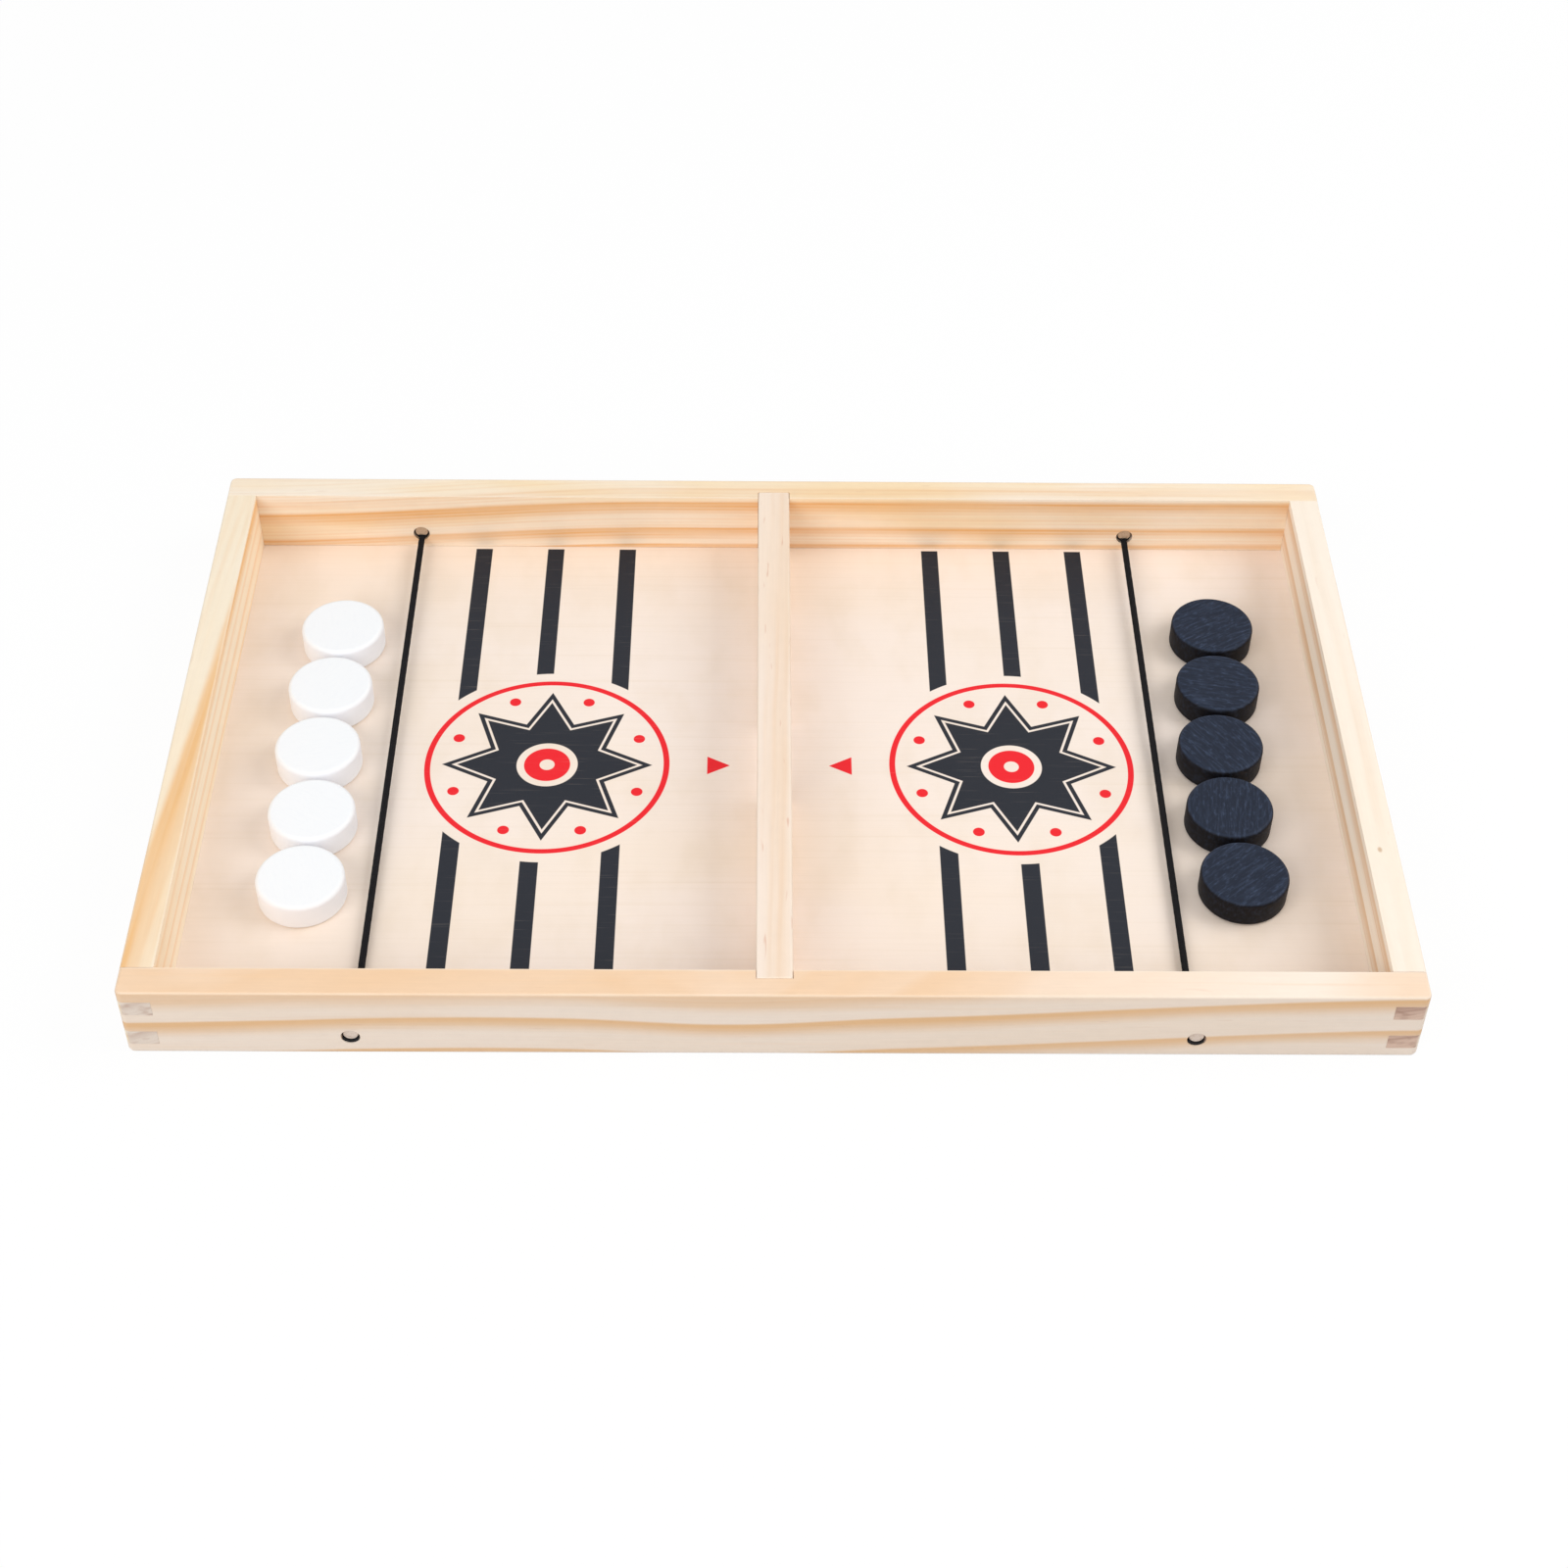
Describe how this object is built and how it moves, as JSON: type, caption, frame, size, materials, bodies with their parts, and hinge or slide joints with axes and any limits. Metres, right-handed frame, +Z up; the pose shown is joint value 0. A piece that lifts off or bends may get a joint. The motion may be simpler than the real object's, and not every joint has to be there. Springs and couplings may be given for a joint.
{
  "type": "sling puck board game",
  "caption": "Shallow wooden tray with finger-jointed corners, a gated divider, an elastic cord across each half and round pucks behind each cord.",
  "frame": {"origin": "middle of the tray's underside, on the surface that it rests on", "axes": "+X along the tray from the white pucks' end to the black pucks' end, +Y towards the back rail, +Z up"},
  "size_m": [0.345, 0.215, 0.024],
  "materials": {
    "rail_wood": "bare pale pine, sanded smooth, tan growth bands",
    "board_plywood": "pale birch plywood, satin sealed, printed stripes and ring",
    "divider_wood": "bare whitish wood, sanded",
    "peg_wood": "bare dowel, sanded flush",
    "elastic_cord": "matte braided sheath over rubber",
    "puck_white": "satin white paint",
    "puck_black": "satin black stain, faint grain"
  },
  "bodies": {
    "tray": {"front_rail": "rail_wood", "back_rail": "rail_wood", "left_rail": "rail_wood", "right_rail": "rail_wood", "playing_board": "board_plywood", "divider": "divider_wood", "left_front_peg": "peg_wood", "left_back_peg": "peg_wood", "right_front_peg": "peg_wood", "right_back_peg": "peg_wood", "left_cord_front_anchor": "elastic_cord", "left_cord_back_anchor": "elastic_cord", "right_cord_front_anchor": "elastic_cord", "right_cord_back_anchor": "elastic_cord"},
    "left_cord_front": {"left_cord_front_half": "elastic_cord"},
    "left_cord_back": {"left_cord_back_half": "elastic_cord"},
    "right_cord_front": {"right_cord_front_half": "elastic_cord"},
    "right_cord_back": {"right_cord_back_half": "elastic_cord"},
    "white_puck_1": {"white_puck_1": "puck_white"},
    "white_puck_2": {"white_puck_2": "puck_white"},
    "white_puck_3": {"white_puck_3": "puck_white"},
    "white_puck_4": {"white_puck_4": "puck_white"},
    "white_puck_5": {"white_puck_5": "puck_white"},
    "black_puck_1": {"black_puck_1": "puck_black"},
    "black_puck_2": {"black_puck_2": "puck_black"},
    "black_puck_3": {"black_puck_3": "puck_black"},
    "black_puck_4": {"black_puck_4": "puck_black"},
    "black_puck_5": {"black_puck_5": "puck_black"}
  },
  "joints": [
    {"name": "left_cord_draw", "type": "hinge", "parent": "tray", "child": "left_cord_front", "pos_m": [-0.1125, -0.0985, 0.0051], "axis": [0, 0, -1], "range_deg": [-3, 0], "stiffness_Nm_per_rad": 0.05},
    {"name": "left_cord_fold", "type": "hinge", "parent": "left_cord_front", "child": "left_cord_back", "pos_m": [-0.1125, 0, 0.0062], "axis": [0, 0, -1], "range_deg": [0, 6]},
    {"name": "right_cord_draw", "type": "hinge", "parent": "tray", "child": "right_cord_front", "pos_m": [0.1125, -0.0985, 0.0051], "axis": [0, 0, 1], "range_deg": [-3, 0], "stiffness_Nm_per_rad": 0.05},
    {"name": "right_cord_fold", "type": "hinge", "parent": "right_cord_front", "child": "right_cord_back", "pos_m": [0.1125, 0, 0.0062], "axis": [0, 0, 1], "range_deg": [0, 6]},
    {"name": "white_puck_1_slide", "type": "slide", "parent": "tray", "child": "white_puck_1", "axis": [1, 0, 0], "range_m": [-0.0185, 0.0055]},
    {"name": "white_puck_2_slide", "type": "slide", "parent": "tray", "child": "white_puck_2", "axis": [1, 0, 0], "range_m": [-0.01775, 0.00625]},
    {"name": "white_puck_3_slide", "type": "slide", "parent": "tray", "child": "white_puck_3", "axis": [1, 0, 0], "range_m": [-0.0171, 0.0069]},
    {"name": "white_puck_4_slide", "type": "slide", "parent": "tray", "child": "white_puck_4", "axis": [1, 0, 0], "range_m": [-0.0185, 0.0055]},
    {"name": "white_puck_5_slide", "type": "slide", "parent": "tray", "child": "white_puck_5", "axis": [1, 0, 0], "range_m": [-0.0185, 0.0055]},
    {"name": "black_puck_1_slide", "type": "slide", "parent": "tray", "child": "black_puck_1", "axis": [-1, 0, 0], "range_m": [-0.0155, 0.0085]},
    {"name": "black_puck_2_slide", "type": "slide", "parent": "tray", "child": "black_puck_2", "axis": [-1, 0, 0], "range_m": [-0.0168, 0.0072]},
    {"name": "black_puck_3_slide", "type": "slide", "parent": "tray", "child": "black_puck_3", "axis": [-1, 0, 0], "range_m": [-0.0191, 0.0049]},
    {"name": "black_puck_4_slide", "type": "slide", "parent": "tray", "child": "black_puck_4", "axis": [-1, 0, 0], "range_m": [-0.0196, 0.0044]},
    {"name": "black_puck_5_slide", "type": "slide", "parent": "tray", "child": "black_puck_5", "axis": [-1, 0, 0], "range_m": [-0.0186, 0.0054]}
  ],
  "couplings": [
    {"joint": "left_cord_fold", "follows": "left_cord_draw", "ratio": -2},
    {"joint": "right_cord_fold", "follows": "right_cord_draw", "ratio": -2}
  ]
}
